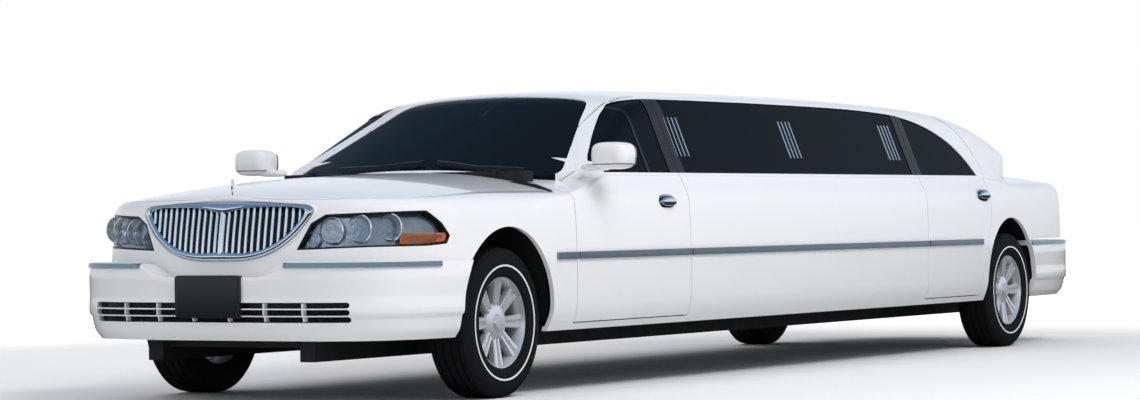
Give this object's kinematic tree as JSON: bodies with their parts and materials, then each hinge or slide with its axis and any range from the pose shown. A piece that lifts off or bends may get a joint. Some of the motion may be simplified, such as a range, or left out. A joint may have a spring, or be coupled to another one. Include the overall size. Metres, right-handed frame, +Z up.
{
  "type": "stretch limousine",
  "caption": "Long-wheelbase saloon on a ladder frame, with a hollow cabin, hinged doors and lids, steered front wheels and turning wheels.",
  "frame": {"origin": "on the ground under the middle of the car's length and width", "axes": "+X towards the front of the car, +Y to its left, +Z up"},
  "size_m": [8.519, 2.3, 1.512],
  "materials": {
    "chassis_black": "satin",
    "cast_metal": "rough",
    "exhaust_steel": "satin",
    "white_paint": "gloss",
    "plate_black": "gloss",
    "chrome": "polished",
    "lamp_clear": "gloss",
    "lamp_red": "gloss",
    "tinted_glass": "gloss",
    "cabin_plastic": "satin",
    "seat_leather": "satin",
    "cabinet_wood": "gloss",
    "tyre_rubber": "matte",
    "wheel_alloy": "polished"
  },
  "bodies": {
    "body": {"frame_rails": "chassis_black", "floor_pan": "chassis_black", "engine_block": "cast_metal", "exhaust_system": "exhaust_steel", "fuel_tank": "chassis_black", "drive_shaft": "cast_metal", "rear_axle": "chassis_black", "front_suspension": "chassis_black", "radiator": "chassis_black", "wheel_housings": "chassis_black", "firewall": "chassis_black", "cowl_panel": "chassis_black", "front_fenders": "white_paint", "side_panels": "white_paint", "rear_quarters": "white_paint", "roof": "white_paint", "front_bumper": "white_paint", "number_plate": "plate_black", "grille": "chrome", "headlamps": "lamp_clear", "tail_lamps": "lamp_red", "rear_bumper": "white_paint", "windscreen": "tinted_glass", "rear_window": "tinted_glass", "side_windows": "tinted_glass", "dashboard": "cabin_plastic", "steering_wheel": "cabin_plastic", "front_seats": "seat_leather", "partition": "cabin_plastic", "passenger_seats": "seat_leather", "bar_cabinet": "cabinet_wood", "rear_bulkhead": "chassis_black"},
    "hood": {"hood": "white_paint"},
    "trunk_lid": {"trunk_lid": "white_paint"},
    "front_door_left": {"front_door_left": "white_paint", "front_door_glass_left": "tinted_glass", "mirror_left": "white_paint"},
    "rear_door_left": {"rear_door_left": "white_paint", "rear_door_glass_left": "tinted_glass"},
    "knuckle_left": {"knuckle_left": "chassis_black"},
    "wheel_front_left": {"tyre_front_left": "tyre_rubber", "wheel_front_left": "wheel_alloy"},
    "wheel_rear_left": {"tyre_rear_left": "tyre_rubber", "wheel_rear_left": "wheel_alloy"},
    "front_door_right": {"front_door_right": "white_paint", "front_door_glass_right": "tinted_glass", "mirror_right": "white_paint"},
    "rear_door_right": {"rear_door_right": "white_paint", "rear_door_glass_right": "tinted_glass"},
    "knuckle_right": {"knuckle_right": "chassis_black"},
    "wheel_front_right": {"tyre_front_right": "tyre_rubber", "wheel_front_right": "wheel_alloy"},
    "wheel_rear_right": {"tyre_rear_right": "tyre_rubber", "wheel_rear_right": "wheel_alloy"}
  },
  "joints": [
    {"name": "hood_hinge", "type": "hinge", "parent": "body", "child": "hood", "pos_m": [2.6305, 0, 1.07], "axis": [0, -1, 0], "range_deg": [0, 50]},
    {"name": "trunk_hinge", "type": "hinge", "parent": "body", "child": "trunk_lid", "pos_m": [-3.3845, 0, 1.101], "axis": [0, 1, 0], "range_deg": [0, 75]},
    {"name": "front_door_left_hinge", "type": "hinge", "parent": "body", "child": "front_door_left", "pos_m": [2.5935, 0.982, 0.6], "axis": [0, 0, -1], "range_deg": [0, 65]},
    {"name": "rear_door_left_hinge", "type": "hinge", "parent": "body", "child": "rear_door_left", "pos_m": [-1.5325, 0.982, 0.6], "axis": [0, 0, -1], "range_deg": [0, 65]},
    {"name": "front_door_right_hinge", "type": "hinge", "parent": "body", "child": "front_door_right", "pos_m": [2.5935, -0.982, 0.6], "axis": [0, 0, 1], "range_deg": [0, 65]},
    {"name": "rear_door_right_hinge", "type": "hinge", "parent": "body", "child": "rear_door_right", "pos_m": [-1.5325, -0.982, 0.6], "axis": [0, 0, 1], "range_deg": [0, 65]},
    {"name": "steering_left", "type": "hinge", "parent": "body", "child": "knuckle_left", "pos_m": [3.1795, 0.73, 0.351], "axis": [0, 0, 1], "range_deg": [-32, 32]},
    {"name": "wheel_front_left_spin", "type": "hinge", "parent": "knuckle_left", "child": "wheel_front_left", "pos_m": [3.1795, 0.805, 0.351], "axis": [0, 1, 0], "continuous": true},
    {"name": "wheel_rear_left_spin", "type": "hinge", "parent": "body", "child": "wheel_rear_left", "pos_m": [-2.8585, 0.82, 0.351], "axis": [0, 1, 0], "continuous": true},
    {"name": "steering_right", "type": "hinge", "parent": "body", "child": "knuckle_right", "pos_m": [3.1795, -0.73, 0.351], "axis": [0, 0, 1], "range_deg": [-32, 32]},
    {"name": "wheel_front_right_spin", "type": "hinge", "parent": "knuckle_right", "child": "wheel_front_right", "pos_m": [3.1795, -0.805, 0.351], "axis": [0, 1, 0], "continuous": true},
    {"name": "wheel_rear_right_spin", "type": "hinge", "parent": "body", "child": "wheel_rear_right", "pos_m": [-2.8585, -0.82, 0.351], "axis": [0, 1, 0], "continuous": true}
  ],
  "couplings": [
    {"joint": "steering_right", "follows": "steering_left", "ratio": 1}
  ]
}
